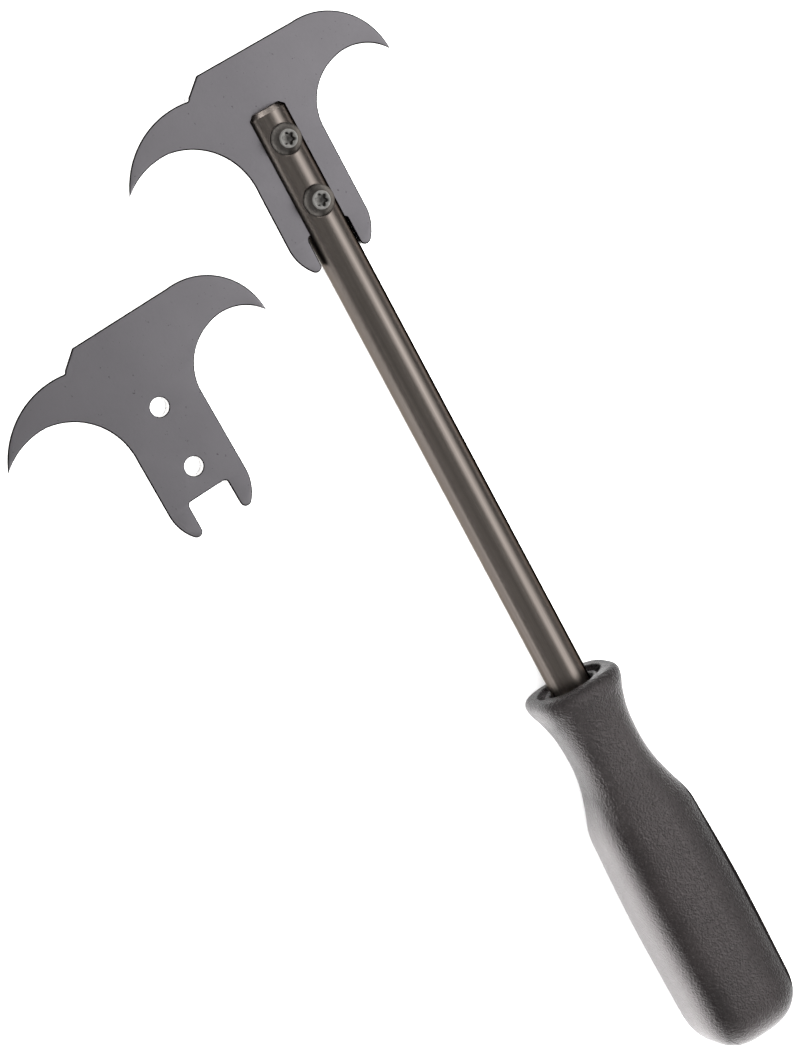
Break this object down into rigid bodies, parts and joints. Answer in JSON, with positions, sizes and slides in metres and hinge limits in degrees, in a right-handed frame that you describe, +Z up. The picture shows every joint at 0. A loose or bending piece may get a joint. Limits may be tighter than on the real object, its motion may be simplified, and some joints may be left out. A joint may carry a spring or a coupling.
{
  "type": "seal puller",
  "caption": "Hooked seal puller: a flat two-hook blade screwed into a slotted round shank with a moulded grip, and a matching spare blade beside it.",
  "frame": {"origin": "on the bench surface, under the middle of the bounding box of the tool and its spare blade as they lie", "axes": "+X along the tool from the butt of the grip to the blade, +Y from the tool towards the spare blade and the large hooks, +Z up. The tool's own axis dips 2.29 degrees towards the blade, because the tool rests on the collar of its grip and on the edge of the shank's end."},
  "size_m": [0.333, 0.1581, 0.0343],
  "materials": {
    "grip_plastic": "black moulded plastic with a fine pebble grain, semi-gloss",
    "shank_steel": "dark brown-grey gunmetal steel, satin, drawn lengthwise",
    "blade_steel": "dark grey finished steel plate, smooth satin",
    "screw_steel": "dark zinc finished steel, turned head"
  },
  "bodies": {
    "tool": {"grip": "grip_plastic", "shank": "shank_steel", "fitted_blade": "blade_steel"},
    "front_screw": {"front_screw": "screw_steel"},
    "rear_screw": {"rear_screw": "screw_steel"},
    "spare_blade": {"spare_blade": "blade_steel"}
  },
  "joints": [
    {"name": "front_screw_out", "type": "slide", "parent": "tool", "child": "front_screw", "axis": [0.04, 0, 0.9992], "range_m": [0, 0.016]},
    {"name": "rear_screw_out", "type": "slide", "parent": "tool", "child": "rear_screw", "axis": [0.04, 0, 0.9992], "range_m": [0, 0.016]},
    {"name": "spare_blade_lift", "type": "slide", "parent": "tool", "child": "spare_blade", "axis": [0, 0, 1], "range_m": [0, 0.12]}
  ]
}
